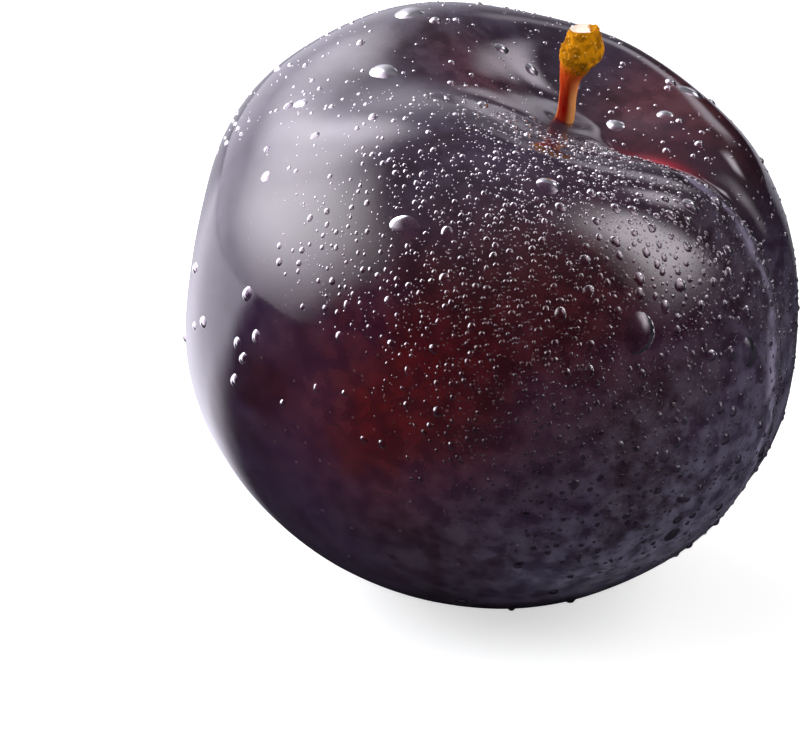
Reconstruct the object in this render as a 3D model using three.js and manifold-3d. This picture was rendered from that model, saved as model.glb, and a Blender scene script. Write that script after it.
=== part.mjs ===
// A whole dark plum with its stem, lying on the small flat spot that its weight has settled on.
// Millimetres, +Z up. The origin lies on that flat, straight below the fruit's weight.
//
// The fruit is one closed skin given by a formula: its radius for each direction from its centre.
// A direction has a polar angle, measured from the stem, and a turn round the stem's axis,
// measured from the seam.

import * as THREE from 'three';
import { mergeVertices } from 'three/addons/utils/BufferGeometryUtils.js';
import Module from 'manifold-3d';

const wasm = await Module();
wasm.setup();

const radians = THREE.MathUtils.degToRad;
const degrees = THREE.MathUtils.radToDeg;

const fruit = {
  acrossSeam: 62, // width square to the seam
  alongSeam: 68, // width in the seam's plane
  crown: 31.5, // from the centre up to the crown, before the hollow round the stem
  base: 33.5, // from the centre down to the tip
  rings: 46,
  columns: 72,
  ringCrowding: 1.2, // above 1 sets the rings closer together near the stem
  columnCrowding: 0.6, // 0 spreads the columns evenly, towards 1 gathers them at the seam
};

const hollow = {
  depth: 10.5,
  span: 30.5, // degrees from the stem to where the wall is steepest, roughly
  steepness: 3,
  stretch: 0.2, // share by which it reaches further on its wide side
  wideSide: -115, // turn of the wide side
};

const seam = {
  depth: 1.5,
  shallowest: 0.5, // share of the depth that is left far from the stem
  halfWidth: 2.6,
  skew: 0.08, // degrees of turn gained for each degree of polar angle past level
  level: 70,
  deepestAt: 40, // polar angle of the deepest place, degrees
  deepSpan: 25,
  startsAt: 5, // the furrow starts here and is whole at fullAt
  fullAt: 20,
  fadeEnd: 172, // it runs out just before the tip
  fadeSpan: 30,
};

const saddle = { depth: 1.8, at: 32, tall: 18, wide: 24 }; // dip where the seam crosses the shoulder

const tip = { depth: 0.5, span: 4 }; // dimple where the flower sat

// Broad swells and flats: polar angle, turn, reach in degrees, and rise in millimetres.
const swells = [
  { polar: 70, turn: 12, reach: 18, rise: -0.8 },
  { polar: 95, turn: -12, reach: 20, rise: 0.5 },
  { polar: 104, turn: -165, reach: 20, rise: -3.0 },
  { polar: 74, turn: 178, reach: 18, rise: -0.3 },
  { polar: 40, turn: 100, reach: 18, rise: 1.1 },
  { polar: 45, turn: -100, reach: 22, rise: -0.6 },
  { polar: 48, turn: -150, reach: 22, rise: -4.6 },
];

const stance = {
  lean: 23, // degrees that the stem's axis leans towards +X
  seamTurn: -25, // degrees that the seam stands round from +X
  centre: new THREE.Vector3(0.4, -0.2, 32.8), // centre of the fruit above its resting spot
};

const stem = {
  root: 2.5, // length sunk in the fruit
  gap: 0.3, // clearance between the stem and the hole that it stands in
  shaftRadius: 0.9,
  footRadius: 0.98, // where the stem spreads as it meets the fruit
  footReach: 1.2,
  knobRadius: 2.0,
  knobAt: 7.6, // height of the knob's widest place above the floor of the hollow
  knobReach: 2.5,
  knobLumps: 0.06, // share by which the knob is uneven
  lumpCount: 3,
  lumpTwist: 0.8, // radians that the lumps turn for each millimetre of height
  nubHeight: 0.4, // old bud scar on the knob's side
  nubAt: 7.4,
  nubReach: 0.9,
  nubSpread: 28,
  cutSlant: 0.16, // slope of the cut end
  slantGathers: 4, // power that keeps the slope near the cut end
  rings: 26,
  sides: 18,
};

// The stem's line above the floor of the hollow: it starts nearly square to the floor and straightens up.
const stemLine = [
  [-0.35, 0, -stem.root],
  [-0.55, 0, 0],
  [-1.35, 0.05, 2.6],
  [-1.85, 0.1, 4.4],
  [-1.95, 0.1, 6.0],
  [-2.0, 0, 7.4],
  [-2.35, -0.1, 8.8],
  [-2.6, -0.1, 9.7],
];

const groundBlock = { side: 100, height: 20 };
const weldDistance = 1e-4;

const bell = (distance, reach) => Math.exp(-((distance / reach) ** 2));

function direction(polar, turn) {
  return new THREE.Vector3(
    Math.sin(polar) * Math.cos(turn),
    Math.sin(polar) * Math.sin(turn),
    Math.cos(polar),
  );
}

// Radius of an egg-shaped body with a different half height above and below its girth.
function bodyRadius(polar, turn) {
  const height = Math.cos(polar) >= 0 ? fruit.crown : fruit.base;
  const flat = Math.sin(polar);
  return 1 / Math.hypot(
    (flat * Math.cos(turn)) / (fruit.alongSeam / 2),
    (flat * Math.sin(turn)) / (fruit.acrossSeam / 2),
    Math.cos(polar) / height,
  );
}

function hollowDepth(polar, turn) {
  const reach = hollow.span * (1 + hollow.stretch * Math.cos(turn - radians(hollow.wideSide)));
  return hollow.depth * Math.exp(-((degrees(polar) / reach) ** hollow.steepness));
}

// The furrow of the seam and the dip where it crosses the shoulder.
function seamDepth(polar, turn, radius) {
  const drift = seam.skew * (polar - radians(seam.level));
  const fromSeam = Math.atan2(Math.sin(turn - drift), Math.cos(turn - drift));
  const polarDegrees = degrees(polar);
  const awayFromStem = THREE.MathUtils.smoothstep(polarDegrees, seam.startsAt, seam.fullAt);
  const awayFromTip = THREE.MathUtils.clamp((seam.fadeEnd - polarDegrees) / seam.fadeSpan, 0, 1);
  const dip = saddle.depth * bell(degrees(fromSeam), saddle.wide)
    * bell(polarDegrees - saddle.at, saddle.tall);
  const nearShoulder = bell(polarDegrees - seam.deepestAt, seam.deepSpan);
  const depth = seam.depth * (seam.shallowest + (1 - seam.shallowest) * nearShoulder);
  const across = Math.abs(fromSeam) * (radius - dip) * Math.sin(polar);
  return awayFromStem * (dip + depth * bell(across, seam.halfWidth) * awayFromTip);
}

function swellHeight(polar, turn) {
  const here = direction(polar, turn);
  let height = 0;
  for (const swell of swells) {
    const cosine = here.dot(direction(radians(swell.polar), radians(swell.turn)));
    height += swell.rise * Math.exp((cosine - 1) / (1 - Math.cos(radians(swell.reach))));
  }
  return height;
}

function fruitRadius(polar, turn) {
  const radius = bodyRadius(polar, turn) - hollowDepth(polar, turn) + swellHeight(polar, turn);
  const tipDimple = tip.depth * bell(180 - degrees(polar), tip.span);
  return radius - seamDepth(polar, turn, radius) - tipDimple;
}

// Closed skin over rings of points that run anticlockwise about the way from start to end.
function closedSkin(start, rings, end) {
  const sides = rings[0].length;
  const points = [start, ...rings.flat(), end];
  const last = points.length - 1;
  const at = (ring, side) => 1 + ring * sides + (side % sides);
  const faces = [];
  for (let side = 0; side < sides; side += 1) {
    faces.push(0, at(0, side + 1), at(0, side));
    faces.push(last, at(rings.length - 1, side), at(rings.length - 1, side + 1));
    for (let ring = 0; ring < rings.length - 1; ring += 1) {
      faces.push(at(ring, side), at(ring, side + 1), at(ring + 1, side + 1));
      faces.push(at(ring, side), at(ring + 1, side + 1), at(ring + 1, side));
    }
  }
  const geometry = new THREE.BufferGeometry();
  geometry.setFromPoints(points);
  geometry.setIndex(faces);
  return geometry;
}

function toSolid(geometry) {
  const plain = geometry.clone();
  plain.deleteAttribute('normal');
  plain.deleteAttribute('uv');
  const merged = mergeVertices(plain, weldDistance);
  return new wasm.Manifold(new wasm.Mesh({
    numProp: 3,
    vertProperties: Float32Array.from(merged.attributes.position.array),
    triVerts: Uint32Array.from(merged.index.array),
  }));
}

function toGeometry(solid) {
  const mesh = solid.getMesh();
  const geometry = new THREE.BufferGeometry();
  geometry.setAttribute('position', new THREE.BufferAttribute(mesh.vertProperties, 3));
  geometry.setIndex(new THREE.BufferAttribute(mesh.triVerts, 1));
  geometry.computeVertexNormals();
  return geometry;
}

// The fruit about its own centre, stem upwards, before it settles.
function fruitSkin() {
  const rings = [];
  for (let ring = fruit.rings - 1; ring > 0; ring -= 1) {
    const polar = Math.PI * (ring / fruit.rings) ** fruit.ringCrowding;
    const points = [];
    for (let column = 0; column < fruit.columns; column += 1) {
      const even = (2 * Math.PI * column) / fruit.columns;
      const turn = even - fruit.columnCrowding * Math.sin(even);
      points.push(direction(polar, turn).multiplyScalar(fruitRadius(polar, turn)));
    }
    rings.push(points);
  }
  const lowest = new THREE.Vector3(0, 0, -fruitRadius(Math.PI, 0));
  const floor = new THREE.Vector3(0, 0, fruitRadius(0, 0));
  return closedSkin(lowest, rings, floor);
}

function stemRadius(height, around) {
  const knob = bell(height - stem.knobAt, stem.knobReach);
  const foot = bell(Math.max(height, 0), stem.footReach);
  const lumps = stem.knobLumps * knob * Math.sin(stem.lumpCount * around + stem.lumpTwist * height);
  const nub = stem.nubHeight * bell(height - stem.nubAt, stem.nubReach)
    * bell(degrees(Math.atan2(Math.sin(around), Math.cos(around))), stem.nubSpread);
  const round = stem.shaftRadius
    + (stem.footRadius - stem.shaftRadius) * foot
    + (stem.knobRadius - stem.shaftRadius) * knob;
  return round * (1 + lumps) + nub;
}

// The stem, or with grow above 0 the same form that much larger, which cuts the hole for its root.
function stemSkin(grow) {
  const floor = fruitRadius(0, 0);
  const line = new THREE.CatmullRomCurve3(stemLine.map(([x, y, z]) => new THREE.Vector3(x, y, floor + z)));
  const rings = [];
  for (let ring = 0; ring <= stem.rings; ring += 1) {
    const share = ring / stem.rings;
    const centre = line.getPointAt(share);
    const along = line.getTangentAt(share);
    const side = new THREE.Vector3(0, 1, 0).cross(along).normalize();
    const back = along.clone().cross(side);
    const height = line.getLength() * share - stem.root;
    const points = [];
    for (let step = 0; step < stem.sides; step += 1) {
      const around = (2 * Math.PI * step) / stem.sides;
      const radius = stemRadius(height, around) + grow;
      const slant = stem.cutSlant * share ** stem.slantGathers * radius * Math.cos(around);
      const point = centre.clone();
      point.addScaledVector(side, radius * Math.cos(around));
      point.addScaledVector(back, radius * Math.sin(around));
      point.addScaledVector(along, slant - (ring === 0 ? grow : 0));
      points.push(point);
    }
    rings.push(points);
  }
  const rootEnd = line.getPointAt(0).addScaledVector(line.getTangentAt(0), -grow);
  return closedSkin(rootEnd, rings, line.getPointAt(1));
}

// Turns and lifts a form from about the fruit's centre to where the fruit rests.
function settle(geometry, seamTurn) {
  geometry.rotateZ(radians(seamTurn));
  geometry.rotateY(radians(stance.lean));
  geometry.translate(stance.centre.x, stance.centre.y, stance.centre.z);
  return geometry;
}

function restingFruit() {
  const ground = new THREE.BoxGeometry(groundBlock.side, groundBlock.side, groundBlock.height);
  ground.translate(0, 0, -groundBlock.height / 2);
  const whole = toSolid(settle(fruitSkin(), stance.seamTurn));
  const rootHole = toSolid(settle(stemSkin(stem.gap), 0));
  return toGeometry(whole.subtract(rootHole).subtract(toSolid(ground)));
}

function named(name, geometry, look) {
  const mesh = new THREE.Mesh(geometry, new THREE.MeshStandardMaterial(look));
  mesh.name = name;
  return mesh;
}

const plum = new THREE.Group();
plum.add(named('fruit', restingFruit(), { color: '#2a1c2b', roughness: 0.35, metalness: 0 }));
plum.add(named('stem', settle(stemSkin(0), 0), { color: '#b07a26', roughness: 0.75, metalness: 0 }));

export default plum;
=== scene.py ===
import math
import bpy
import numpy as np
from mathutils import Matrix, Vector


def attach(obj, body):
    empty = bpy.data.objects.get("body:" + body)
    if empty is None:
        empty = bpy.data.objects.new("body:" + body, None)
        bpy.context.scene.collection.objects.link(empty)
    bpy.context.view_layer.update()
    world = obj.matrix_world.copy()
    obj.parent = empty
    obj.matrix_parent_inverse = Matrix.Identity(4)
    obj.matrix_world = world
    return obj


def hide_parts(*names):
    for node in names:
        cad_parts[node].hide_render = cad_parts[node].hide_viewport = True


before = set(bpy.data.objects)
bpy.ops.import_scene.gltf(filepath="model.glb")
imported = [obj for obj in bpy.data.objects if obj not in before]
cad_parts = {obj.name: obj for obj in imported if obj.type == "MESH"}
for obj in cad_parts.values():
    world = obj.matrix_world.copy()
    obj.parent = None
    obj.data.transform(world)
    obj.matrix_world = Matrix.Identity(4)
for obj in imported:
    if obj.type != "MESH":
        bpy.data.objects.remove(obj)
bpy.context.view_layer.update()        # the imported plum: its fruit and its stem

# A dark dessert plum, washed and still beaded with water. Lengths in the settings are in mm, angles in degrees.
# A place on the fruit is a polar angle from the stem and a turn round the stem's axis, with the seam at turn 0.
mm = 0.001
white = (1, 1, 1)


# small helpers

def bell(distance, reach):
    return np.exp(-(distance / reach) ** 2)


def wrapAngle(angle):
    return np.arctan2(np.sin(angle), np.cos(angle))


def smoothStep(value, start, end):
    share = np.clip((value - start) / (end - start), 0, 1)
    return share * share * (3 - 2 * share)


def unit(vectors):
    return vectors / np.linalg.norm(vectors, axis=-1, keepdims=True)


def softNoise(points, size, seed):
    # smooth lattice noise from about -1 to 1, with lumps of the given size; the large whole numbers only scramble
    # the lattice corners
    cells = points / size
    low = np.floor(cells).astype(np.int64)
    part = cells - low
    part = part ** 3 * (part * (part * 6 - 15) + 10)
    total = np.zeros(len(points))
    for corner in range(8):
        step = np.array([corner & 1, corner >> 1 & 1, corner >> 2 & 1])
        spot = low + step
        key = (spot[:, 0] * 73856093) ^ (spot[:, 1] * 19349663) ^ (spot[:, 2] * 83492791) ^ (seed * 26544357)
        key = ((key & 0xffffff) * 1664525 + 1013904223) & 0xffffffff
        key = ((key ^ (key >> 15)) * 2246822519) & 0xffffffff
        weight = np.prod(np.where(step, part, 1 - part), axis=1)
        total += weight * (key / 0x7fffffff - 1)
    return total


def makePiece(name, points, faces, material, flat=0):
    # points in mm; the last faces, as many as flat says, are shaded flat
    mesh = bpy.data.meshes.new(name)
    mesh.from_pydata((points * mm).tolist(), [], faces)
    smooth = np.ones(len(faces), dtype=bool)
    if flat:
        smooth[-flat:] = False
    mesh.polygons.foreach_set("use_smooth", smooth)
    mesh.update()
    mesh.materials.append(material)
    piece = bpy.data.objects.new(name, mesh)
    bpy.context.scene.collection.objects.link(piece)
    return piece


def paint(piece, name, values):
    # a value at each point, which the material reads by its name
    layer = piece.data.attributes.new(name, "FLOAT", "POINT")
    layer.data.foreach_set("value", np.asarray(values, dtype=np.float32))


def addNode(tree, kind, inputs=None, **settings):
    made = tree.nodes.new(kind)
    for name, value in settings.items():
        setattr(made, name, value)
    for name, value in (inputs or {}).items():
        if isinstance(value, bpy.types.NodeSocket):
            tree.links.new(value, made.inputs[name])
        else:
            made.inputs[name].default_value = value
    return made


def mixColour(tree, factor, first, second):
    return addNode(tree, "ShaderNodeMix", {0: factor, 6: first, 7: second}, data_type="RGBA").outputs[2]


def maths(tree, operation, first, second=0.0, clamp=False):
    return addNode(tree, "ShaderNodeMath", {0: first, 1: second}, operation=operation, use_clamp=clamp).outputs[0]


def attribute(tree, name):
    return addNode(tree, "ShaderNodeAttribute", attribute_name=name).outputs["Fac"]


def shade(colour):
    return (*colour, 1)


def startGroup(name, inputs):
    group = bpy.data.node_groups.new(name, "ShaderNodeTree")
    for label, kind, value in inputs:
        socket = group.interface.new_socket(label, in_out="INPUT", socket_type=kind)
        if value is not None:
            socket.default_value = value
    group.interface.new_socket("Mask", in_out="OUTPUT", socket_type="NodeSocketFloat")
    return group, group.nodes.new("NodeGroupInput").outputs, group.nodes.new("NodeGroupOutput").inputs["Mask"]


def makePatches():
    # cloudy patches, from 0 to 1, of about the given size
    group, given, mask = startGroup("patches", [
        ("Place", "NodeSocketVector", None), ("Size mm", "NodeSocketFloat", 8.0), ("Detail", "NodeSocketFloat", 3.0),
        ("From", "NodeSocketFloat", 0.4), ("To", "NodeSocketFloat", 0.6), ("Twist", "NodeSocketFloat", 0.0)])
    scale = maths(group, "DIVIDE", 1000.0, given["Size mm"])
    noise = addNode(group, "ShaderNodeTexNoise", {
        "Vector": given["Place"], "Scale": scale, "Detail": given["Detail"], "Roughness": 0.55,
        "Distortion": given["Twist"]})
    steeper = addNode(group, "ShaderNodeMapRange", {
        "Value": noise.outputs["Fac"], "From Min": given["From"], "From Max": given["To"]},
        interpolation_type="SMOOTHSTEP")
    group.links.new(steeper.outputs[0], mask)
    return group


def makeSpecks():
    # small round specks scattered evenly, with only a share of them kept
    group, given, mask = startGroup("specks", [
        ("Place", "NodeSocketVector", None), ("Spacing mm", "NodeSocketFloat", 1.0),
        ("Speck", "NodeSocketFloat", 0.2), ("Soft edge", "NodeSocketFloat", 0.1), ("Share", "NodeSocketFloat", 0.5)])
    scale = maths(group, "DIVIDE", 1000.0, given["Spacing mm"])
    dots = addNode(group, "ShaderNodeTexVoronoi", {"Vector": given["Place"], "Scale": scale})
    parted = addNode(group, "ShaderNodeSeparateColor", {"Color": dots.outputs["Color"]})
    kept = maths(group, "LESS_THAN", parted.outputs[0], given["Share"])
    size = maths(group, "MULTIPLY", given["Speck"], maths(group, "ADD", 0.5, parted.outputs[1]))
    edge = maths(group, "ADD", size, given["Soft edge"])
    inside = addNode(group, "ShaderNodeMapRange", {
        "Value": dots.outputs["Distance"], "From Min": size, "From Max": edge, "To Min": 1.0, "To Max": 0.0},
        interpolation_type="SMOOTHSTEP")
    group.links.new(maths(group, "MULTIPLY", inside.outputs[0], kept), mask)
    return group


patches = makePatches()
specks = makeSpecks()


def placeGroup(tree, group, place, values):
    made = addNode(tree, "ShaderNodeGroup", node_tree=group)
    tree.links.new(place, made.inputs["Place"])
    for name, value in values.items():
        made.inputs[name].default_value = value
    return made.outputs["Mask"]


def newMaterial(name):
    material = bpy.data.materials.new(name)
    material.use_nodes = True
    tree = material.node_tree
    place = addNode(tree, "ShaderNodeTexCoord").outputs["Object"]
    return material, tree, tree.nodes["Principled BSDF"], place


def bumpFrom(tree, height, distance, strength, under=None):
    inputs = {"Height": height, "Distance": distance * mm, "Strength": strength}
    if under is not None:
        inputs["Normal"] = under
    return addNode(tree, "ShaderNodeBump", inputs).outputs["Normal"]


# the camera and the studio

cameraPlace = {
    "elevation": 25,
    "distance": 330,
    "lens": 140,
    "frame": (800, 731),          # pixels of the picture
    "aim": (0.8, 0.3, 31.0),      # this point of the plum ...
    "aimPixel": (491.5, 305),     # ... is seen at this pixel
}


def setCamera():
    rise = math.radians(cameraPlace["elevation"])
    right = Vector((1, 0, 0))
    up = Vector((0, math.sin(rise), math.cos(rise)))
    back = Vector((0, -math.cos(rise), math.sin(rise)))
    width, height = cameraPlace["frame"]
    camera = bpy.data.cameras.new("camera")
    camera.lens = cameraPlace["lens"]
    perPixel = cameraPlace["distance"] / (camera.lens / camera.sensor_width * width)
    across, down = cameraPlace["aimPixel"]
    target = Vector(cameraPlace["aim"])
    target -= right * (across - width / 2) * perPixel + up * (height / 2 - down) * perPixel
    holder = bpy.data.objects.new("camera", camera)
    turn = Matrix((right, up, back)).transposed().to_4x4()
    holder.matrix_world = Matrix.Translation((target + back * cameraPlace["distance"]) * mm) @ turn
    bpy.context.scene.collection.objects.link(holder)
    bpy.context.scene.camera = holder


studio = {
    # soft panels: the way to the panel, its roll, distance, width and height in mm, its soft edge as a share of the
    # panel, its glow and its colour
    "panels": {
        "windowLeft": ((-0.87, -0.03, 0.49), -28, 600, 980, 860, 0.48, 5.9, (0.96, 0.92, 1.0)),
        "windowBack": ((-0.49, 0.54, 0.66), -4, 640, 660, 620, 0.42, 3.4, (0.95, 0.90, 1.0)),
        "windowRight": ((0.72, -0.23, 0.65), 0, 600, 560, 820, 0.40, 2.0, (0.98, 0.93, 1.0)),
        "windowRightCore": ((0.75, -0.19, 0.62), 0, 590, 380, 540, 0.36, 2.9, (1.0, 0.95, 1.0)),
        "windowHollow": ((0.58, 0.50, 0.64), 0, 700, 260, 220, 0.45, 3.0, (0.98, 0.90, 1.0)),
        "hazeRight": ((0.38, 0.85, 0.42), 0, 700, 300, 200, 0.4, 0.9, (0.95, 0.90, 1.0)),
    },
    # soft glows of the room behind: the way to each, its reach in degrees and its strength
    "glows": {
        "left": ((-0.92, 0.38, 0.06), 30, 0.5),
        "backLeft": ((-0.68, 0.72, 0.12), 62, 1.15),
        "back": ((-0.15, 0.85, 0.52), 40, 0.05),
    },
    "height": 32,               # the panels face a point this high above the floor
    "horizon": 0.015,           # how bright the rest of the room is, level and overhead
    "zenith": 0.25,
    "gathers": 2.0,             # how closely the light overhead gathers round the zenith
    "skyColour": (0.90, 0.86, 1.0),
    "seen": 1.0,                # how bright the camera sees the room, behind the floor
    "floorSide": 1400,
    "floorDrop": 0.05,          # how far the floor lies below the plum
    "floorColour": (0.84, 0.88, 0.83),      # as the camera sees it, and as it lights the plum
    "floorLift": 0.60,          # extra glow that evens it out for the camera
    # in the plum's gloss the floor is dark, but pale past both of the pale lines: the way across each line, and
    # the metres along it where the floor turns pale; past the bright line too, its pale side glows a little
    "floorDark": (0.022, 0.020, 0.026),
    "floorMirrored": (0.42, 0.42, 0.44),
    "paleLines": [((0.0, 1.0), (0.0, 0.025)), ((-0.8, 0.6), (-0.010, 0.045))],
    "brightLine": ((-0.8, -0.6), (-0.030, 0.040)),
    "brightTint": (0.92, 0.88, 1.0),
    "brightLift": 0.95,
}


def softenPanel(light, edge):
    # full glow inside, and none at the panel's edges
    light.use_nodes = True
    tree = light.node_tree
    spot = addNode(tree, "ShaderNodeNewGeometry").outputs["Parametric"]
    parted = addNode(tree, "ShaderNodeSeparateXYZ", {0: spot}).outputs
    shares = []
    for axis in ("X", "Y"):
        fromMiddle = maths(tree, "ABSOLUTE", maths(tree, "SUBTRACT", parted[axis], 0.5))
        inward = addNode(tree, "ShaderNodeMapRange", {"Value": fromMiddle, "From Min": 0.5, "From Max": 0.5 - edge},
                         interpolation_type="SMOOTHSTEP")
        shares.append(inward.outputs[0])
    tree.links.new(maths(tree, "MULTIPLY", *shares), tree.nodes["Emission"].inputs["Strength"])


def setPanels():
    middle = Vector((0, 0, studio["height"]))
    for name, (toward, roll, distance, width, height, edge, glow, colour) in studio["panels"].items():
        light = bpy.data.lights.new(name, "AREA")
        light.shape = "RECTANGLE"
        light.size = width * mm
        light.size_y = height * mm
        light.energy = glow * math.pi * light.size * light.size_y
        light.color = colour
        softenPanel(light, edge)
        panel = bpy.data.objects.new(name, light)
        toward = Vector(toward).normalized()
        turn = toward.to_track_quat("Z", "Y").to_matrix() @ Matrix.Rotation(math.radians(roll), 3, "Z")
        panel.matrix_world = Matrix.Translation((middle + toward * distance) * mm) @ turn.to_4x4()
        panel.visible_camera = False
        bpy.context.scene.collection.objects.link(panel)


def setRoom():
    world = bpy.data.worlds.new("studio")
    world.use_nodes = True
    tree = world.node_tree
    sky = tree.nodes["Background"]
    ray = addNode(tree, "ShaderNodeTexCoord").outputs["Generated"]
    height = addNode(tree, "ShaderNodeSeparateXYZ", {0: ray}).outputs["Z"]
    total = addNode(tree, "ShaderNodeMapRange", {
        "Value": maths(tree, "POWER", maths(tree, "MAXIMUM", height, 0.0), studio["gathers"]),
        "To Min": studio["horizon"], "To Max": studio["zenith"]}).outputs[0]
    for toward, reach, strength in studio["glows"].values():
        near = addNode(tree, "ShaderNodeVectorMath", {0: ray, 1: Vector(toward).normalized()},
                       operation="DOT_PRODUCT").outputs["Value"]
        glow = addNode(tree, "ShaderNodeMapRange", {
            "Value": near, "From Min": math.cos(math.radians(reach)), "To Max": strength},
            interpolation_type="SMOOTHSTEP").outputs[0]
        total = maths(tree, "ADD", total, glow)
    seen = addNode(tree, "ShaderNodeLightPath").outputs["Is Camera Ray"]
    tree.links.new(addNode(tree, "ShaderNodeMix", {0: seen, 2: total, 3: studio["seen"]}).outputs[0],
                   sky.inputs["Strength"])
    tree.links.new(mixColour(tree, seen, shade(studio["skyColour"]), shade(white)), sky.inputs["Color"])
    bpy.context.scene.world = world


def layFloor():
    material, tree, shader, place = newMaterial("paleFloor")
    parted = addNode(tree, "ShaderNodeSeparateXYZ", {0: place}).outputs

    def beyond(line):
        (right, back), (start, end) = line
        across = maths(tree, "ADD", maths(tree, "MULTIPLY", parted["X"], right),
                       maths(tree, "MULTIPLY", parted["Y"], back))
        return addNode(tree, "ShaderNodeMapRange", {"Value": across, "From Min": start, "From Max": end},
                       interpolation_type="SMOOTHSTEP").outputs[0]

    pale = maths(tree, "MULTIPLY", beyond(studio["paleLines"][0]), beyond(studio["paleLines"][1]))
    bright = maths(tree, "MULTIPLY", pale, beyond(studio["brightLine"]))
    mirrored = mixColour(tree, pale, shade(studio["floorDark"]), shade(studio["floorMirrored"]))
    ray = addNode(tree, "ShaderNodeLightPath").outputs
    soft = maths(tree, "MAXIMUM", ray["Is Camera Ray"], ray["Is Diffuse Ray"])
    tree.links.new(mixColour(tree, soft, mirrored, shade(studio["floorColour"])), shader.inputs["Base Color"])
    tree.links.new(mixColour(tree, ray["Is Camera Ray"], shade(studio["brightTint"]), shade(white)),
                   shader.inputs["Emission Color"])
    lift = maths(tree, "MULTIPLY", maths(tree, "MULTIPLY", ray["Is Glossy Ray"], bright), studio["brightLift"])
    lift = maths(tree, "ADD", lift, maths(tree, "MULTIPLY", ray["Is Camera Ray"], studio["floorLift"]))
    tree.links.new(lift, shader.inputs["Emission Strength"])
    shader.inputs["Roughness"].default_value = 1.0
    shader.inputs["Specular IOR Level"].default_value = 0.0
    half = studio["floorSide"] / 2
    corners = np.array([(x * half, y * half, -studio["floorDrop"]) for x, y in ((-1, -1), (1, -1), (1, 1), (-1, 1))])
    floor = makePiece("floor", corners, [(0, 1, 2, 3)], material)


setCamera()
setPanels()
setRoom()
layFloor()
bpy.context.scene.view_settings.view_transform = "Standard"
print("camera and studio ready")


# the skin

plumShape = {
    "acrossSeam": 62.0,
    "alongSeam": 68.0,
    "crown": 31.5,
    "base": 33.5,
    "hollow": {"depth": 10.5, "span": 30.5, "steepness": 3, "stretch": 0.2, "wideSide": -115},
    "seam": {"depth": 1.5, "shallowest": 0.5, "halfWidth": 2.6, "skew": 0.08, "level": 70, "deepestAt": 40,
             "deepSpan": 25, "startsAt": 5, "fullAt": 20, "fadeEnd": 172, "fadeSpan": 30},
    "saddle": {"depth": 1.8, "at": 32, "tall": 18, "wide": 24},
    "tip": {"depth": 0.5, "span": 4},
    "swells": [  # polar, turn, reach, rise
        (70, 12, 18, -0.8), (95, -12, 20, 0.5), (104, -165, 20, -3.0), (74, 178, 18, -0.3),
        (40, 100, 18, 1.1), (45, -100, 22, -0.6), (48, -150, 22, -4.6)],
    "lean": 23,
    "seamTurn": -25,
    "centre": (0.4, -0.2, 32.8),
    "cells": 120,                 # along each side of the six sheets
    "waveBall": 32,               # radius of the ball on which the waves and lumps are laid out
    "waves": [(10.0, 0.07), (4.5, 0.022), (1.7, 0.006)],      # size and height of the faint waves
    "waveSeed": 3,
    "seamLumps": {"height": 0.10, "size": 2.4, "reach": 3.2, "seed": 11},
    "stemSeat": {"at": (-0.50, -0.23), "dip": 0.18, "reach": 1.6, "rim": 0.05, "rimAt": 2.4, "rimReach": 0.8},
}

leanTurn = np.array(Matrix.Rotation(math.radians(plumShape["lean"]), 3, "Y")
                    @ Matrix.Rotation(math.radians(plumShape["seamTurn"]), 3, "Z"))
plumCentre = np.array(plumShape["centre"])
farAway = 100.0                   # distance given to the side of the fruit that the seam or the stem is not on


def way(polar, turn):
    polar, turn = np.radians(polar), np.radians(turn)
    return np.stack([np.sin(polar) * np.cos(turn), np.sin(polar) * np.sin(turn), np.cos(polar)], -1)


def spread(local, places):
    # the sum of smooth spots on the skin, each given by polar, turn, reach and strength
    total = np.zeros(len(local))
    for polar, turn, reach, strength in places:
        total += strength * np.exp((local @ way(polar, turn) - 1) / (1 - math.cos(math.radians(reach))))
    return total


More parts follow.
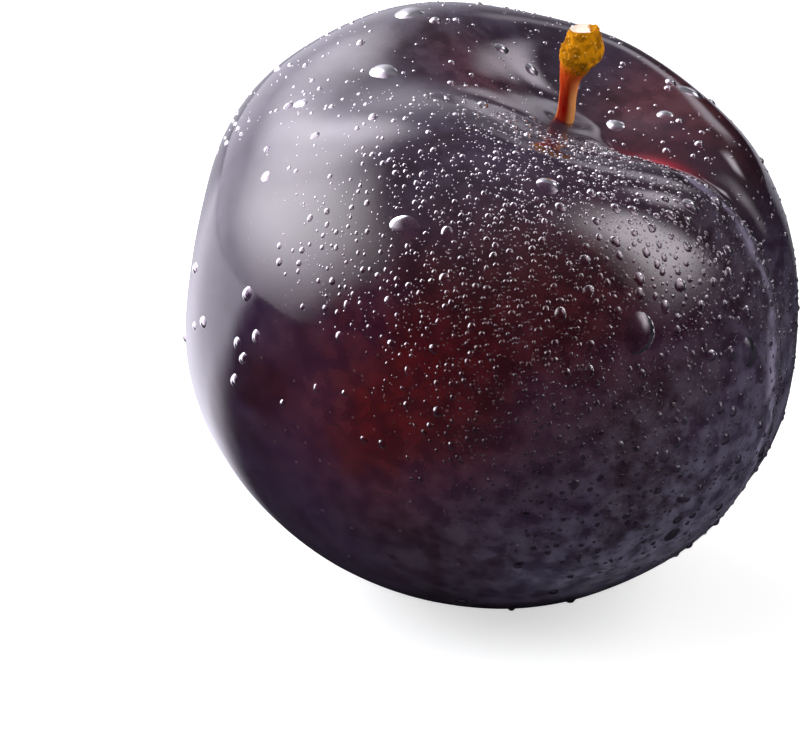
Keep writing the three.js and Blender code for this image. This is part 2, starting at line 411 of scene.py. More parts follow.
def skinForm(local, waves=True):
    # radius in mm and distance from the seam's line, for directions about the stem's axis
    shape = plumShape
    polar = np.arccos(np.clip(local[:, 2], -1, 1))
    turn = np.arctan2(local[:, 1], local[:, 0])
    degrees = np.degrees(polar)
    height = np.where(local[:, 2] >= 0, shape["crown"], shape["base"])
    radius = 1 / np.sqrt((local[:, 0] / (shape["alongSeam"] / 2)) ** 2
                         + (local[:, 1] / (shape["acrossSeam"] / 2)) ** 2 + (local[:, 2] / height) ** 2)
    hollow = shape["hollow"]
    reach = hollow["span"] * (1 + hollow["stretch"] * np.cos(turn - math.radians(hollow["wideSide"])))
    radius -= hollow["depth"] * np.exp(-(degrees / reach) ** hollow["steepness"])
    radius += spread(local, shape["swells"])

    seam, saddle = shape["seam"], shape["saddle"]
    fromSeam = wrapAngle(turn - seam["skew"] * (polar - math.radians(seam["level"])))
    dip = saddle["depth"] * bell(np.degrees(fromSeam), saddle["wide"]) * bell(degrees - saddle["at"], saddle["tall"])
    depth = seam["depth"] * (seam["shallowest"]
                             + (1 - seam["shallowest"]) * bell(degrees - seam["deepestAt"], seam["deepSpan"]))
    gap = fromSeam * (radius - dip) * np.sin(polar)
    nearStem = smoothStep(degrees, seam["startsAt"], seam["fullAt"])
    nearTip = np.clip((seam["fadeEnd"] - degrees) / seam["fadeSpan"], 0, 1)
    radius -= nearStem * (dip + depth * bell(gap, seam["halfWidth"]) * nearTip)
    radius -= shape["tip"]["depth"] * bell(180 - degrees, shape["tip"]["span"])

    if waves:
        ball = local * shape["waveBall"]
        for number, (size, rise) in enumerate(shape["waves"]):
            radius += rise * softNoise(ball, size, shape["waveSeed"] + number)
        lumps, seat = shape["seamLumps"], shape["stemSeat"]
        onSeam = bell(gap, lumps["reach"]) * nearStem * nearTip * (np.cos(fromSeam) > 0)
        radius += lumps["height"] * onSeam * softNoise(ball, lumps["size"], lumps["seed"])
        fromStem = np.hypot(radius * local[:, 0] - seat["at"][0], radius * local[:, 1] - seat["at"][1])
        fromStem += farAway * (local[:, 2] < 0)
        radius += seat["rim"] * bell(fromStem - seat["rimAt"], seat["rimReach"])
        radius -= seat["dip"] * bell(fromStem, seat["reach"])
    return radius, np.where(np.cos(fromSeam) > 0, gap, farAway)


def skinPoints(ways):
    # points of the resting skin, in mm, in the given directions from its centre
    local = ways @ leanTurn
    radius, gap = skinForm(local)
    return plumCentre + ways * radius[:, None], local, gap


def skinNormals(ways):
    aside = unit(np.cross(ways, np.where(np.abs(ways[:, 2:]) < 0.9, (0.0, 0, 1), (1.0, 0, 0))))
    above = np.cross(ways, aside)
    step = 0.004
    edges = [skinPoints(unit(ways + side * step))[0] - skinPoints(unit(ways - side * step))[0]
             for side in (aside, above)]
    normals = unit(np.cross(*edges))
    return normals * np.sign(np.sum(normals * ways, 1))[:, None]


def ballSheets(cells):
    # directions over a ball in six sheets of even cells, joined along their edges
    ticks = np.tan(np.linspace(-1, 1, cells + 1) * math.pi / 4)
    one, (a, b) = np.ones((cells + 1, cells + 1)), np.meshgrid(ticks, ticks, indexing="ij")
    sheets = [(one, a, b), (-one, b, a), (b, one, a), (a, -one, b), (a, b, one), (b, a, -one)]
    ways = unit(np.concatenate([np.stack(sheet, -1).reshape(-1, 3) for sheet in sheets]))
    number = np.arange((cells + 1) ** 2).reshape(cells + 1, cells + 1)
    quads = np.stack([number[:-1, :-1], number[1:, :-1], number[1:, 1:], number[:-1, 1:]], -1).reshape(-1, 4)
    faces = np.concatenate([quads + sheet * (cells + 1) ** 2 for sheet in range(6)])
    first, same = np.unique(np.round(ways, 6), axis=0, return_index=True, return_inverse=True)[1:]
    return ways[first], same.reshape(-1)[faces]


skinLook = {
    "dark": (0.013, 0.0035, 0.007),
    "purple": (0.019, 0.008, 0.026),
    "maroon": (0.085, 0.005, 0.006),
    "furrowRed": (0.42, 0.012, 0.03),
    # the bloom's colour, also used as painted sheen, a pale rim reflection beside the seam
    "bloomAndSheenColour": (0.245, 0.235, 0.33),
    "bloomAndSheenMost": 0.50,
    # the pale line's colour, also used for its painted highlight and the painted rim reflection by the seam
    "pale": (0.50, 0.46, 0.62),
    "dot": (0.20, 0.13, 0.14),
    "dotShare": 0.35,
    "scar": (0.16, 0.085, 0.04),   # where the flower sat, at the end away from the stem
    "scarReach": 2.2,
    "broadPatches": {"Size mm": 16.0, "Detail": 3.0, "From": 0.35, "To": 0.65, "Twist": 0.4},
    "finePatches": {"Size mm": 2.2, "Detail": 5.0, "From": 0.3, "To": 0.7},
    "dots": {"Spacing mm": 1.15, "Speck": 0.07, "Soft edge": 0.07, "Share": 0.6},
    "pores": {"Size mm": 0.35, "Detail": 2.0, "From": 0.2, "To": 0.8},
    "poreDepth": (0.006, 0.5),     # mm, and strength
    "sheenAndBloomFilm": 0.85,            # the bloom and painted sheen on the spots, and the bloom on the broad patches
    "broadFilm": 0.07,
    # the least share of each that shows between the fine patches, and how much more shows in them
    "blushMottle": (0.45, 0.8),
    "filmMottle": (0.15, 1.15),
    "lineMottle": (0.25, 0.6),
    "ior": 1.45,
    "roughness": (0.09, 0.26),     # of bare skin and of skin under bloom
    "filmMatt": 0.75,              # the bloom's share in this; the rest is the fine patches'
    "stemRoughness": 0.6,          # of the dull skin round the stem
    "coatRoughness": 0.06,
    # spots of skin, each given by polar, turn, reach and strength: a ripe blush, no shine in front of the stem's
    # foot, and the cloudy bloom, which beside the seam is painted sheen, a pale rim reflection put into the colour
    "blush": [(97, -84, 21, 0.8), (66, -60, 26, 0.5), (26, -165, 12, 0.8), (20, 30, 16, 0.6), (28, 60, 12, 0.8),
              (120, 60, 30, 0.5), (80, 150, 26, 0.4)],
    "dull": [(9, -86, 5, 0.9), (22, -84, 8, 0.9), (4, 90, 4, 0.5)],
    "dullMost": 0.92,
    # painted sheen: the spots at polar 80 to 121 pale the contour by the seam, (60, 14) the skin past it; others
    # bloom
    "sheenAndBloom": [(94, -16, 24, 0.40), (108, -14, 22, 0.40), (80, 12, 8, 0.7), (88, 8, 9, 0.8), (98, -3, 9, 0.8),
               (107, -11, 9, 0.8), (114, -20, 9, 0.6), (121, -32, 9, 0.4), (84, -34, 20, 0.30), (122, -50, 20, 0.30),
               (45, -22, 10, 0.45), (48, -100, 22, 0.18), (44, 178, 26, 0.35), (20, 60, 16, 0.20), (60, 14, 13, 0.30),
               (92, 110, 40, 0.45), (110, 175, 40, 0.35)],
    "seamHaze": {"strength": 0.5, "at": -2, "width": 9, "from": (44, 64), "to": (120, 150)},
    # the pale line along the seam's near edge, partly pale bloom and partly a painted highlight on its lit
    # crest: how far from the seam, its width, where it starts and ends, and the painted highlight where it leaves
    # the hollow
    "seamLineAndHighlight": {"at": -5.0, "width": 1.0, "wander": 1.2, "wanderSize": 3.0, "seed": 71, "from": (31, 35),
                 "to": (108, 132), "along": 0.7, "bright": (37, 4)},
    # painted rim reflection: pale spots along the contour beside the seam
    "paintedRimReflection": [(84, 11, 6, 0.35), (93, 3, 6, 0.40), (101, -6, 6, 0.40), (108, -13, 6, 0.40), (115, -22, 7, 0.22)],
    "furrow": {"width": 0.95, "at": 25, "reach": 6.5},      # the red line where the seam runs out of the hollow
}


def skinMaterial():
    look = skinLook
    material, tree, shader, place = newMaterial("plumSkin")
    blush, sheenAndBloom, scar, seamLineAndHighlight, furrow, dull = (
        attribute(tree, name) for name in ("blush", "sheenAndBloom", "scar", "seamLineAndHighlight", "furrow", "dull"))
    broad = placeGroup(tree, patches, place, look["broadPatches"])
    fine = placeGroup(tree, patches, place, look["finePatches"])

    def mottled(value, least, more):
        # the value, broken up by the fine patches
        share = maths(tree, "ADD", least, maths(tree, "MULTIPLY", fine, more))
        return maths(tree, "MULTIPLY", value, share, clamp=True)

    colour = mixColour(tree, broad, shade(look["dark"]), shade(look["purple"]))
    colour = mixColour(tree, mottled(blush, *look["blushMottle"]), colour, shade(look["maroon"]))
    dots = placeGroup(tree, specks, place, look["dots"])
    colour = mixColour(tree, maths(tree, "MULTIPLY", dots, look["dotShare"]), colour, shade(look["dot"]))
    # the film: bloom, and painted sheen where the spots pale the contour by the seam
    film = maths(tree, "ADD", maths(tree, "MULTIPLY", sheenAndBloom, look["sheenAndBloomFilm"]),
                 maths(tree, "MULTIPLY", broad, look["broadFilm"]))
    film = mottled(film, *look["filmMottle"])
    colour = mixColour(tree, maths(tree, "MULTIPLY", film, look["bloomAndSheenMost"]), colour, shade(look["bloomAndSheenColour"]))
    # the pale seam line, partly painted highlight, and the painted rim reflection beside it
    colour = mixColour(tree, mottled(seamLineAndHighlight, *look["lineMottle"]), colour, shade(look["pale"]))
    colour = mixColour(tree, furrow, colour, shade(look["furrowRed"]))
    colour = mixColour(tree, scar, colour, shade(look["scar"]))
    tree.links.new(colour, shader.inputs["Base Color"])
    sheen = addNode(tree, "ShaderNodeMapRange", {
        "Value": maths(tree, "ADD", maths(tree, "MULTIPLY", film, look["filmMatt"]),
                       maths(tree, "MULTIPLY", fine, 1 - look["filmMatt"])),
        "To Min": look["roughness"][0], "To Max": look["roughness"][1]})
    tree.links.new(addNode(tree, "ShaderNodeMix", {
        0: dull, 2: sheen.outputs[0], 3: look["stemRoughness"]}).outputs[0], shader.inputs["Roughness"])
    tree.links.new(maths(tree, "SUBTRACT", 1.0, dull), shader.inputs["Coat Weight"])
    pores = placeGroup(tree, patches, place, look["pores"])
    tree.links.new(bumpFrom(tree, pores, *look["poreDepth"]), shader.inputs["Normal"])
    shader.inputs["IOR"].default_value = look["ior"]
    shader.inputs["Coat Roughness"].default_value = look["coatRoughness"]
    return material


def makeSkin():
    ways, faces = ballSheets(plumShape["cells"])
    points, local, gap = skinPoints(ways)
    points[:, 2] = np.maximum(points[:, 2], 0)            # the small flat spot that it rests on
    piece = makePiece("plumSkin", points, faces.tolist(), skinMaterial())
    polar = np.degrees(np.arccos(np.clip(local[:, 2], -1, 1)))
    paint(piece, "blush", np.clip(spread(local, skinLook["blush"]), 0, 1))
    paint(piece, "scar", bell(180 - polar, skinLook["scarReach"]))
    paint(piece, "dull", np.clip(spread(local, skinLook["dull"]), 0, skinLook["dullMost"]))
    haze, line, furrow = skinLook["seamHaze"], skinLook["seamLineAndHighlight"], skinLook["furrow"]
    ends = smoothStep(polar, *haze["from"]) * (1 - smoothStep(polar, *haze["to"]))
    # bloom, with painted sheen on the spots by the seam
    sheenAndBloom = spread(local, skinLook["sheenAndBloom"]) + haze["strength"] * ends * bell(gap - haze["at"], haze["width"])
    paint(piece, "sheenAndBloom", np.clip(sheenAndBloom, 0, 1))
    # the pale seam line, partly painted highlight, and the painted rim reflection beside it
    ends = smoothStep(polar, *line["from"]) * (1 - smoothStep(polar, *line["to"]))
    brightAt, brightReach = line["bright"]
    ends *= line["along"] + bell(polar - brightAt, brightReach)
    wander = line["wander"] * softNoise(points, line["wanderSize"], line["seed"])
    ends *= bell(gap - line["at"] - wander, line["width"])
    paint(piece, "seamLineAndHighlight", np.clip(ends + spread(local, skinLook["paintedRimReflection"]), 0, 1))
    paint(piece, "furrow", bell(gap, furrow["width"]) * bell(polar - furrow["at"], furrow["reach"]))
    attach(piece, "root")
    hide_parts("fruit")


makeSkin()
print("skin ready")


# the stem

stemShape = {
    "root": 2.5, "shaftRadius": 0.9, "footRadius": 0.98, "footReach": 1.2, "knobRadius": 2.0, "knobAt": 7.6,
    "knobReach": 2.5, "knobLumps": 0.06, "lumpCount": 3, "lumpTwist": 0.8, "nubHeight": 0.4, "nubAt": 7.4,
    "nubReach": 0.9, "nubSpread": 28, "cutSlant": 0.16, "slantGathers": 4,
    "line": [(-0.35, 0, -2.5), (-0.55, 0, 0), (-1.35, 0.05, 2.6), (-1.85, 0.1, 4.4), (-1.95, 0.1, 6.0),
             (-2.0, 0, 7.4), (-2.35, -0.1, 8.8), (-2.6, -0.1, 9.7)],
    "rings": 230,
    "sides": 140,
    "capRings": 14,
    "fibres": [(0.30, 0.035), (0.13, 0.014)],             # width and height of the ridges along the shaft
    "fibreSquash": 0.10,                # draws the ridges out along the shaft
    "fibreSeed": 31,
    "cork": [(0.90, 0.10), (0.40, 0.07), (0.17, 0.035)],     # size and height of the lumps on the knob
    "corkSeed": 41,
    "corkFrom": (3.6, 6.2),             # heights between which the shaft turns corky
    "roughFrom": (-0.2, 0.6),           # heights between which the ridges and lumps begin
    "flare": (0.28, 8.6, 9.6, 60),      # how far the cut's left rim stands out, between which heights, its spread
    # the cut end: places across it are shares of its radius, heights and sizes are in mm
    "cutEdge": 0.3,                     # how far right the pale cut reaches
    "barkFades": (-0.1, 0.2),           # where the bark begins and is full, from there
    "cutHollow": (0.14, 0.25),          # how far the cut lies inside its bark rim, and where it is that deep
    "cutGrain": (0.4, 0.05, 0.10),      # size of its unevenness, the height, and how much higher that is in bark
    "cutSeed": 51,
    "cutTop": 0.12,                     # how far its middle lies below the line's end
}


def curveAlong(knots, count, steps=60):
    # a centripetal Catmull-Rom curve through the knots, as evenly spaced points, the way along it and its length
    knots = [np.array(knot, dtype=float) for knot in knots]
    knots = [2 * knots[0] - knots[1], *knots, 2 * knots[-1] - knots[-2]]
    samples = []
    for a, b, c, d in zip(knots, knots[1:], knots[2:], knots[3:]):
        before, during, after = (math.sqrt(np.linalg.norm(q - p)) for p, q in ((a, b), (b, c), (c, d)))
        leave = ((b - a) / before - (c - a) / (before + during) + (c - b) / during) * during
        arrive = ((c - b) / during - (d - b) / (during + after) + (d - c) / after) * during
        for t in np.linspace(0, 1, steps, endpoint=False):
            samples.append(b + leave * t + (3 * (c - b) - 2 * leave - arrive) * t ** 2
                           + (2 * (b - c) + leave + arrive) * t ** 3)
    samples = np.array([*samples, knots[-2]])
    walked = np.concatenate([[0], np.cumsum(np.linalg.norm(np.diff(samples, axis=0), axis=1))])
    even = np.linspace(0, walked[-1], count)
    points = np.stack([np.interp(even, walked, samples[:, axis]) for axis in range(3)], 1)
    return points, unit(np.gradient(points, axis=0)), walked[-1]


stemLook = {
    "foot": (0.34, 0.003, 0.001),
    "shaft": (0.66, 0.060, 0.003),
    # the colour of the shaft's painted lit side; its light streaks take it too
    "shaftLitColour": (1.0, 0.42, 0.13),
    "knob": (0.72, 0.29, 0.003),
    "knobDark": (0.34, 0.13, 0.001),
    "knobPale": (0.95, 0.62, 0.15),
    "cut": (1.0, 0.92, 0.76),
    "cutRing": (0.80, 0.62, 0.38),
    "streaks": {"Size mm": 0.28, "Detail": 3.0, "From": 0.3, "To": 0.7},
    "streakSquash": 0.16,          # draws the streaks out along the shaft
    "streakLean": -8,
    "streakShare": 0.08,
    "blots": {"Size mm": 0.9, "Detail": 4.0, "From": 0.40, "To": 0.62},
    "grains": {"Spacing mm": 0.34, "Speck": 0.16, "Soft edge": 0.2, "Share": 0.5},
    "grainShare": 0.7,
    "footFades": (0.38, 0.60),     # shares of the stem's length between which the foot turns to shaft,
    "shaftFades": (0.57, 0.73),    # and the shaft to knob
    "fadeUneven": 0.06,
    "shaftShare": 0.9,
    "blotDepth": (0.05, 0.5),      # mm, and strength
    "streakDepth": (0.02, 0.6),
    "roughness": (0.6, 0.9),       # of the shaft and of the knob
    "knobMatt": 0.7,               # the knob's share in this; the rest is the streaks'
    "ior": 1.15,
    # painted lit side: where across the stem it begins and is full, and a thin painted highlight at the far edge:
    # begin, full, share
    "litSide": (-0.15, 0.55),
    "litEdge": (0.88, 0.99, 0.6),
    # rings on the cut: how far in, how wide, how strong
    "cutRings": [(0.3, 0.1, 0.5), (0.6, 0.12, 0.3), (1, 0.12, 0.8)],
    "cutRagged": (0.5, 0.12, 61),  # size, depth and seed of the pale cut's ragged edge
    "cutInside": (0, 0.05),        # how far in from the rim the pale cut begins and is full
    "cutSoft": (-0.08, 0.12),      # the same for its ragged edge, from that edge
}


def stemMaterial():
    look = stemLook
    material, tree, shader, place = newMaterial("stemBark")
    along, side, cut, ring = (attribute(tree, name) for name in ("alongStem", "paintedLitSide", "cutFace", "cutRing"))
    stretched = addNode(tree, "ShaderNodeMapping", {
        "Vector": place, "Scale": (1.0, 1.0, look["streakSquash"]),
        "Rotation": (0.0, math.radians(look["streakLean"]), 0.0)}).outputs[0]
    streaks = placeGroup(tree, patches, stretched, look["streaks"])
    blots = placeGroup(tree, patches, place, look["blots"])
    grains = placeGroup(tree, specks, place, look["grains"])
    footEnds, shaftFull = look["footFades"]
    low = addNode(tree, "ShaderNodeMapRange", {
        "Value": along, "From Min": footEnds, "From Max": shaftFull}).outputs[0]
    # painted light: the lit side of the stem's foot is painted light orange, the far side keeps the foot's deep red
    shaft = mixColour(tree, side, shade(look["foot"]), shade(look["shaftLitColour"]))
    shaft = mixColour(tree, maths(tree, "MULTIPLY", low, look["shaftShare"]), shaft, shade(look["shaft"]))
    shaft = mixColour(tree, maths(tree, "MULTIPLY", streaks, look["streakShare"]), shaft, shade(look["shaftLitColour"]))
    knob = mixColour(tree, blots, shade(look["knob"]), shade(look["knobDark"]))
    knob = mixColour(tree, maths(tree, "MULTIPLY", grains, look["grainShare"]), knob, shade(look["knobPale"]))
    shaftEnds, knobFull = look["shaftFades"]
    uneven = maths(tree, "ADD", along, maths(tree, "MULTIPLY", blots, look["fadeUneven"]))
    high = addNode(tree, "ShaderNodeMapRange", {"Value": uneven, "From Min": shaftEnds, "From Max": knobFull},
                   interpolation_type="SMOOTHSTEP").outputs[0]
    colour = mixColour(tree, high, shaft, knob)
    wood = mixColour(tree, ring, shade(look["cut"]), shade(look["cutRing"]))
    colour = mixColour(tree, cut, colour, wood)
    tree.links.new(colour, shader.inputs["Base Color"])
    rough = addNode(tree, "ShaderNodeMapRange", {
        "Value": maths(tree, "ADD", maths(tree, "MULTIPLY", high, look["knobMatt"]),
                       maths(tree, "MULTIPLY", streaks, 1 - look["knobMatt"])),
        "To Min": look["roughness"][0], "To Max": look["roughness"][1]})
    tree.links.new(rough.outputs[0], shader.inputs["Roughness"])
    shader.inputs["IOR"].default_value = look["ior"]
    coarse = bumpFrom(tree, blots, *look["blotDepth"])
    tree.links.new(bumpFrom(tree, streaks, *look["streakDepth"], coarse), shader.inputs["Normal"])
    return material


def makeStem():
    shape = stemShape
    floor = skinForm(np.array([[0.0, 0.0, 1.0]]), waves=False)[0][0]
    line = [(x, y, floor + z) for x, y, z in shape["line"]]
    centres, along, length = curveAlong(line, shape["rings"])
    side = unit(np.cross((0.0, 1.0, 0.0), along))
    back = np.cross(along, side)
    share = np.linspace(0, 1, shape["rings"])[:, None]
    around = (np.arange(shape["sides"]) / shape["sides"] * 2 * math.pi)[None, :]
    height = length * share - shape["root"]

    knob = bell(height - shape["knobAt"], shape["knobReach"])
    foot = bell(np.maximum(height, 0), shape["footReach"])
    radius = (shape["shaftRadius"] + (shape["footRadius"] - shape["shaftRadius"]) * foot
              + (shape["knobRadius"] - shape["shaftRadius"]) * knob)
    radius = radius * (1 + shape["knobLumps"] * knob * np.sin(shape["lumpCount"] * around
                                                              + shape["lumpTwist"] * height))
    radius = radius + (shape["nubHeight"] * bell(height - shape["nubAt"], shape["nubReach"])
                       * bell(np.degrees(wrapAngle(around)), shape["nubSpread"]))
    flare, flareFrom, flareTo, flareSpread = shape["flare"]
    radius = radius + (flare * smoothStep(height, flareFrom, flareTo)
                       * bell(np.degrees(wrapAngle(around - math.pi)), flareSpread))
    circle = np.stack([np.cos(around) * radius, np.sin(around) * radius, height + 0 * radius], -1).reshape(-1, 3)
    flute = np.zeros(radius.size)
    for number, (size, rise) in enumerate(shape["fibres"]):
        flute += rise * softNoise(circle * (1, 1, shape["fibreSquash"]), size, shape["fibreSeed"] + number)
    cork = np.zeros(radius.size)
    for number, (size, rise) in enumerate(shape["cork"]):
        cork += rise * softNoise(circle, size, shape["corkSeed"] + number)
    corky = smoothStep(height, *shape["corkFrom"])
    above = smoothStep(height, *shape["roughFrom"])
    rough = radius + above * ((1 - corky) * flute.reshape(radius.shape) + corky * cork.reshape(radius.shape))

    slant = shape["cutSlant"] * share ** shape["slantGathers"] * radius * np.cos(around)
    points = (centres[:, None] + side[:, None] * (rough * np.cos(around))[..., None]
              + back[:, None] * (rough * np.sin(around))[..., None] + along[:, None] * slant[..., None])
    rings = list(points)
    cutShare = np.linspace(1, 0, shape["capRings"] + 2)[1:-1]
    last, top = points[-1], centres[-1]
    cutEdge, (barkFrom, barkFull) = shape["cutEdge"], shape["barkFades"]
    hollowDepth, hollowBy = shape["cutHollow"]
    grainSize, grainRise, barkRise = shape["cutGrain"]
    for inner in cutShare:                                # the cut end, a little hollow inside its bark rim
        ring = top + (last - top) * inner
        bark = smoothStep(inner * np.cos(around[0]), cutEdge + barkFrom, cutEdge + barkFull)
        rise = softNoise(ring, grainSize, shape["cutSeed"]) * (grainRise + barkRise * bark)
        rise -= hollowDepth * (1 - bark) * smoothStep(1 - inner, 0, hollowBy)
        rings.append(ring + along[-1] * rise[:, None])
    points = np.concatenate([*rings, [centres[0]], [top - along[-1] * shape["cutTop"]]])
    sides, total = shape["sides"], len(rings)
    number = np.arange(total * sides).reshape(total, sides)
    after = np.roll(number, -1, axis=1)
    quads = np.stack([number[:-1], after[:-1], after[1:], number[1:]], -1).reshape(-1, 4)
    rootFan = [(total * sides, b, a) for a, b in zip(number[0], after[0])]
    cutFan = [(total * sides + 1, a, b) for a, b in zip(number[-1], after[-1])]

    tilt = np.array(Matrix.Rotation(math.radians(plumShape["lean"]), 3, "Y"))
    points = points @ tilt.T + plumCentre
    piece = makePiece("plumStem", points, [*quads.tolist(), *rootFan, *cutFan], stemMaterial())

    capRows = len(cutShare)
    rows = np.concatenate([np.repeat(np.linspace(0, 1, shape["rings"]), sides), np.ones(capRows * sides), [0, 1]])
    paint(piece, "alongStem", rows)
    across = np.cos(around[0])
    # the painted lit side, and a thin painted highlight along the far edge
    edgeFrom, edgeFull, edgeShare = stemLook["litEdge"]
    light = np.maximum(smoothStep(across, *stemLook["litSide"]), edgeShare * smoothStep(-across, edgeFrom, edgeFull))
    paint(piece, "paintedLitSide", np.concatenate([np.tile(light, total), [0.5, 0.5]]))
    inside = np.concatenate([np.zeros(shape["rings"] * sides), np.repeat(1 - cutShare, sides), [0, 1]])
    reach = np.concatenate([np.tile(across, total) * (1 - inside[:-2]), [0, 0]])
    raggedSize, raggedDepth, raggedSeed = stemLook["cutRagged"]
    ragged = reach + raggedDepth * softNoise(points, raggedSize, raggedSeed)
    pale = smoothStep(inside, *stemLook["cutInside"]) * smoothStep(cutEdge - ragged, *stemLook["cutSoft"])
    paint(piece, "cutFace", pale)
    paint(piece, "cutRing", sum(strength * bell(inside - at, width) for at, width, strength in stemLook["cutRings"]))
    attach(piece, "root")
    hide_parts("stem")


makeStem()
print("stem ready")


# the water: beads that sit on the skin, each a closed dome

dew = {
    "seed": 20,
    "clearOfFloor": 3.0,
    "clearOfStem": 4.2,
    "sunk": 0.03,                 # the domes' undersides lie this far inside the skin
    "cell": 3,                    # side of the cells in which neighbours are looked for
    "smallOnes": 2.2,             # above 1, most drops of a kind are near its smallest size
    "stretch": (1, 0.25),         # the least stretch downhill, and how much more some have
    "height": (0.8, 0.35),        # the same for the height, as a share of the kind's own
    "wobble": (0.07, 0.04),       # how far the outline leaves a circle, in two and in three waves
    "slump": (0.22, 0.3, 1.5),    # how far the top slides downhill, and the radii between which that begins
    "foot": 1.04,                 # reach of the ring below the skin, over the drop's own
    "fineRings": [1.05, 0.66],    # the only two rings of the finest dew
    # where it lies thick and thin: polar, turn, reach and strength
    "thick": [(52, -42, 13, 0.45), (68, -58, 31, 0.85), (50, -72, 26, 0.35), (92, -36, 30, 0.40),
              (80, -107, 12, 0.40), (76, 125, 36, 0.22), (95, 40, 30, 0.10)],
    "thin": [(50, 60, 40, 0.10), (103, -130, 15, 0.8), (40, -165, 30, 0.09), (112, -115, 30, 0.5),
             (150, -60, 40, 0.4), (170, 0, 40, 0.4)],
    "thickBase": 0.10,
    # the same for the beads
    "spotsBig": [(50, -45, 12, 0.80), (64, -62, 22, 0.09), (84, -22, 30, 0.05), (50, 100, 40, 0.04)],
    "bigBase": 0.012,
    # name: how many tries and at most how many, smallest and largest radius, sides, rings, how far apart, height
    "kinds": {
        "dewBeads": (9000, 420, 0.34, 0.66, 18, 6, 1.08, 0.60),
        "dewSmall": (16000, 3800, 0.18, 0.34, 10, 3, 1.20, 0.58),
        "dewFine": (46000, 7800, 0.08, 0.16, 7, 2, 1.10, 0.50),
    },
    "largeFacets": (40, 14),      # sides and rings
    # the large drops: polar, turn, radius, stretch downhill, height over radius
    "large": [
        (67, -46, 1.62, 1.32, 0.42), (47, -154, 1.4, 1.0, 0.22), (66, -97, 1.45, 0.72, 0.28),
        (46, -74, 1.15, 0.9, 0.3), (44, 175, 1.6, 1.0, 0.20), (68, -19, 1.2, 1.35, 0.4),
        (42, -32, 0.95, 1.0, 0.42), (79, -92, 0.45, 1.0, 0.42), (63, -89, 0.6, 0.9, 0.42),
        (64, -147, 0.8, 1.0, 0.24), (76, -131, 0.6, 1.0, 0.3), (26, 163, 0.8, 1.0, 0.28),
        (20, 150, 0.75, 1.1, 0.28), (13, 40, 0.9, 1.2, 0.26), (22, 42, 0.8, 1.0, 0.26),
        (30, 60, 1.2, 1.2, 0.26), (88, 20, 1.1, 1.3, 0.4), (70, 62, 1.4, 1.2, 0.4),
        (55, 95, 1.8, 1.1, 0.36), (82, 128, 1.3, 1.3, 0.4), (60, 150, 1.1, 1.0, 0.38),
        (98, 90, 0.9, 1.4, 0.42), (104, -20, 0.8, 1.4, 0.42), (92, 165, 1.0, 1.3, 0.42),
    ],
}


def placeDrops():
    dice = np.random.default_rng(dew["seed"])
    grid = {}

    def clear(point, radius, gap):
        cell = tuple((point // dew["cell"]).astype(int))
        for x in (-1, 0, 1):
            for y in (-1, 0, 1):
                for z in (-1, 0, 1):
                    for px, py, pz, other in grid.get((cell[0] + x, cell[1] + y, cell[2] + z), ()):
                        room = gap * (radius + other)
                        if (px - point[0]) ** 2 + (py - point[1]) ** 2 + (pz - point[2]) ** 2 < room * room:
                            return False
        return True

    def keep(point, radius):
        grid.setdefault(tuple((point // dew["cell"]).astype(int)), []).append((*point, radius))

    drops = {}
    large = np.array(dew["large"])
    ways = way(large[:, 0], large[:, 1]) @ leanTurn.T
    points = skinPoints(ways)[0]
    for point, row in zip(points, large):
        keep(point, row[2] * max(1, row[3]))
    drops["dewDrops"] = (ways, large[:, 2], large[:, 3], large[:, 4])

    for name, (tries, most, smallest, largest, _, _, gap, rise) in dew["kinds"].items():
        ways = unit(dice.normal(size=(tries, 3)))
        points, local, _ = skinPoints(ways)
        density = dew["thickBase"] + spread(local, dew["thick"]) - spread(local, dew["thin"])
        if name == "dewBeads":
            density = dew["bigBase"] + spread(local, dew["spotsBig"])
        chance = dice.random(len(ways))
        sizes = smallest + (largest - smallest) * dice.random(len(ways)) ** dew["smallOnes"]
        fromStem = np.linalg.norm(np.cross(points - plumCentre, leanTurn[:, 2]), axis=1) + farAway * (local[:, 2] < 0)
        fits = (chance < density) & (points[:, 2] > dew["clearOfFloor"]) & (fromStem > dew["clearOfStem"])
        kept = []
        for spot in np.flatnonzero(fits):
            if clear(points[spot], sizes[spot], gap):
                keep(points[spot], sizes[spot])
                kept.append(spot)
                if len(kept) == most:
                    break
        stretch = dew["stretch"][0] + dew["stretch"][1] * dice.random(len(kept))
        heights = rise * (dew["height"][0] + dew["height"][1] * dice.random(len(kept)))
        drops[name] = (ways[kept], sizes[kept], stretch, heights)
        print(name, len(kept))
    return drops


waterLook = {"colour": (0.88, 0.80, 0.86), "roughness": 0.10, "ior": 1.333}


def waterMaterial():
    material = bpy.data.materials.new("water")
    material.use_nodes = True
    shader = material.node_tree.nodes["Principled BSDF"]
    shader.inputs["Base Color"].default_value = shade(waterLook["colour"])
    shader.inputs["Roughness"].default_value = waterLook["roughness"]
    shader.inputs["IOR"].default_value = waterLook["ior"]
    shader.inputs["Transmission Weight"].default_value = 1.0
    return material


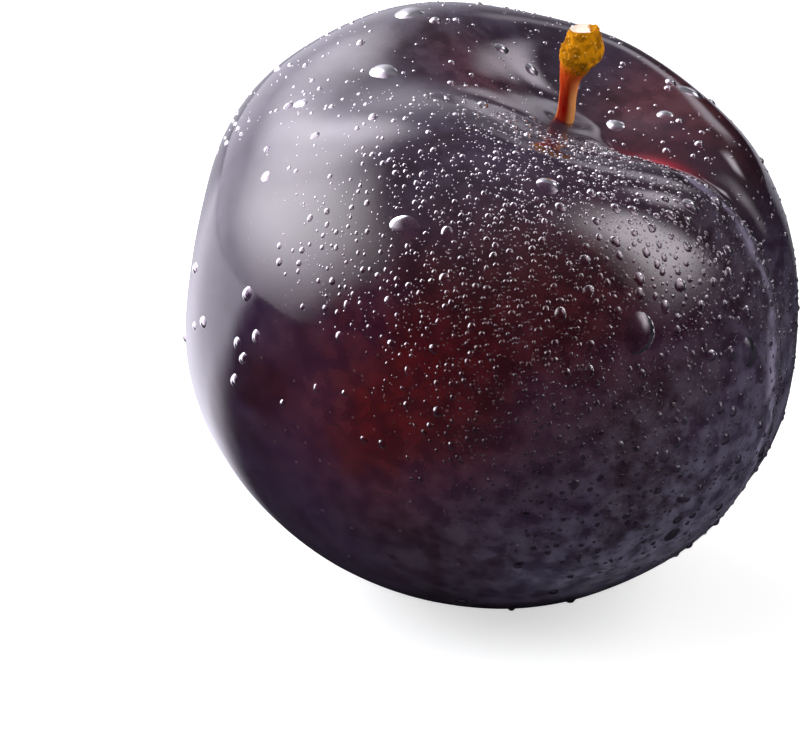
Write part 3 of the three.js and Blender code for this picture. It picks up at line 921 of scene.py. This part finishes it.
def makeDrops(name, ways, radii, stretch, heights, sides, rings, material):
    # each drop: a ring just inside the skin, rings up its dome and a top point
    dice = np.random.default_rng(len(ways))
    count = len(ways)
    centres = skinPoints(ways)[0]
    normals = skinNormals(ways)
    downhill = unit(normals * normals[:, 2:] - (0, 0, 1.0))
    aside = np.cross(normals, downhill)
    angle = np.arange(sides) / sides * 2 * math.pi
    phase = dice.random((count, 2)) * 2 * math.pi
    twice, thrice = dew["wobble"]
    outline = (1 + twice * np.cos(2 * angle + phase[:, :1]) + thrice * np.cos(3 * angle + phase[:, 1:]))
    slide, slideFrom, slideTo = dew["slump"]
    slump = slide * (1 - normals[:, 2] ** 2) * smoothStep(radii, slideFrom, slideTo)
    levels = np.sin(np.linspace(math.pi / 2, 0, rings + 1))[:-1]
    ball = (1 + heights ** 2) / (2 * heights)             # radius of the dome's ball over the drop's own
    rows = []
    for level in [dew["foot"], *levels] if rings > 2 else dew["fineRings"]:
        reach = (radii[:, None] * outline * level)[..., None]
        spot = (centres[:, None] + downhill[:, None] * reach * np.cos(angle)[None, :, None]
                * stretch[:, None, None] + aside[:, None] * reach * np.sin(angle)[None, :, None])
        spot = spot + (downhill * (radii * slump * (1 - min(level, 1) ** 2))[:, None])[:, None]
        where = skinPoints(unit((spot - plumCentre).reshape(-1, 3)))[0].reshape(count, sides, 3)
        dome = radii * (np.sqrt(np.maximum(ball ** 2 - min(level, 1) ** 2, 0)) - (ball - heights))
        lift = dome if level <= 1 else np.full(count, -dew["sunk"])
        rows.append(where + normals[:, None] * lift[:, None, None])
    topWay = unit(centres + downhill * (radii * slump)[:, None] - plumCentre)
    top = skinPoints(topWay)[0] + normals * (radii * heights)[:, None]
    points = np.concatenate([np.stack(rows, 1).reshape(count, -1, 3), top[:, None]], 1)
    each = points.shape[1]
    start = (np.arange(count) * each)[:, None, None]
    number = np.arange(each - 1).reshape(-1, sides)
    after = np.roll(number, -1, axis=1)
    walls = np.stack([number[:-1], number[1:], after[1:], after[:-1]], -1).reshape(-1, 4)
    roof = np.stack([number[-1], np.full(sides, each - 1), after[-1]], -1)
    under = number[:1]
    faces = [*(walls + start).reshape(-1, 4).tolist(), *(roof + start).reshape(-1, 3).tolist(),
             *(under + start).reshape(-1, sides).tolist()]
    piece = makePiece(name, points.reshape(-1, 3), faces, material, flat=count)
    piece.visible_shadow = False                          # light falls through the water onto the skin
    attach(piece, "root")


def makeDew():
    water = waterMaterial()
    for name, (ways, radii, stretch, heights) in placeDrops().items():
        if name == "dewDrops":
            makeDrops(name, ways, radii, stretch, heights, *dew["largeFacets"], water)
            continue
        sides, rings = dew["kinds"][name][4:6]
        half = len(ways) // 2
        shares = [(name + "A", slice(half)), (name + "B", slice(half, None))]
        if name == "dewBeads":
            shares = [(name, slice(None))]
        for part, share in shares:
            makeDrops(part, ways[share], radii[share], stretch[share], heights[share], sides, rings, water)


makeDew()
print("water ready")
